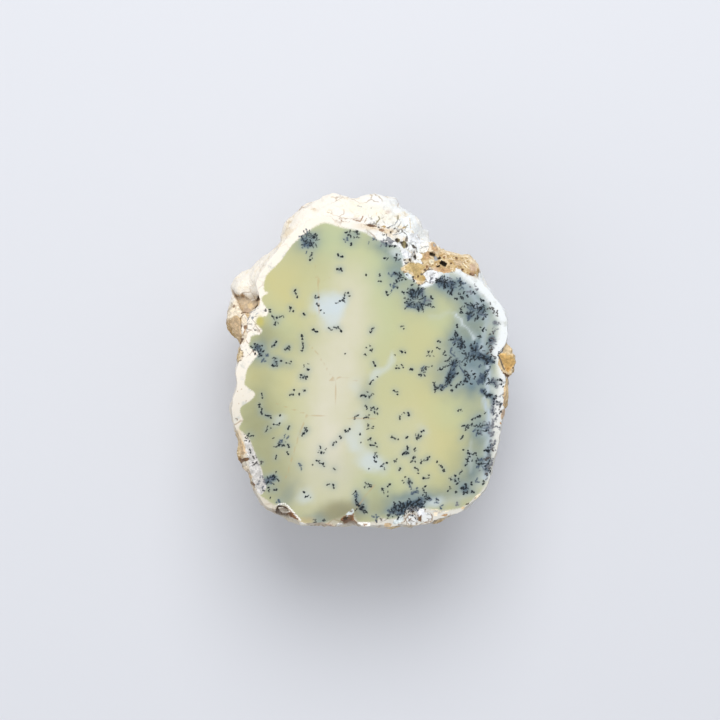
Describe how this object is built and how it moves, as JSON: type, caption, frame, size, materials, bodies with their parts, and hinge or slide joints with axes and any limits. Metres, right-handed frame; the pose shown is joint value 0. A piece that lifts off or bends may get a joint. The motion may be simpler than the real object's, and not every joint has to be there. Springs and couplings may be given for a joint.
{
  "type": "dendritic opal",
  "caption": "Half nodule of dendritic opal, sawn and polished flat on one side, with a lumpy white rind and sandy host rock on the rest.",
  "frame": {"origin": "under the middle of the bounding box, on the surface that the nodule rests on", "axes": "+Z up out of the polished face, +Y along the face's longer way, towards the end with the white lump, +X to the right when looking down on the face with +Y up"},
  "size_m": [0.0692, 0.0806, 0.034],
  "materials": {
    "opal": "polished on the flat face, with dark dendrites in yellow-green opal; matt, white and sandy tan on the rest"
  },
  "bodies": {
    "root": {"dendritic_opal": "opal"}
  },
  "joints": []
}
